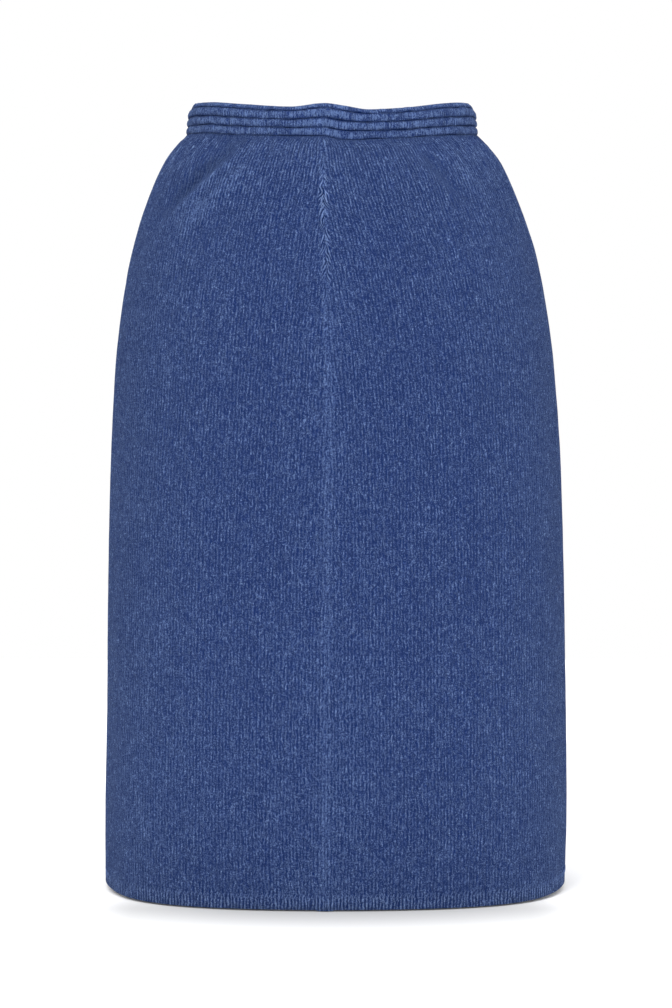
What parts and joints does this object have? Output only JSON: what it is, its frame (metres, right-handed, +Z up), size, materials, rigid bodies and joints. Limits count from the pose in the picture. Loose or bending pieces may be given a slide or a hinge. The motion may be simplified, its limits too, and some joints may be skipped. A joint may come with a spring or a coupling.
{
  "type": "knit skirt",
  "caption": "Pull-on ribbed knit skirt, knee length, in its worn shape, with a ruched elastic waistband, a raised centre front seam and a turned hem.",
  "frame": {"origin": "middle of the waist opening, half way up the waistband", "axes": "+Z up, front of the skirt faces -Y, +X to the wearer's left"},
  "size_m": [0.4133, 0.2786, 0.7008],
  "materials": {
    "rib_knit": "matte, brushed, washed",
    "waistband_knit": "matte, brushed, faded"
  },
  "bodies": {
    "root": {"front_left": "rib_knit", "front_right": "rib_knit", "back": "rib_knit", "waistband": "waistband_knit"}
  },
  "joints": []
}
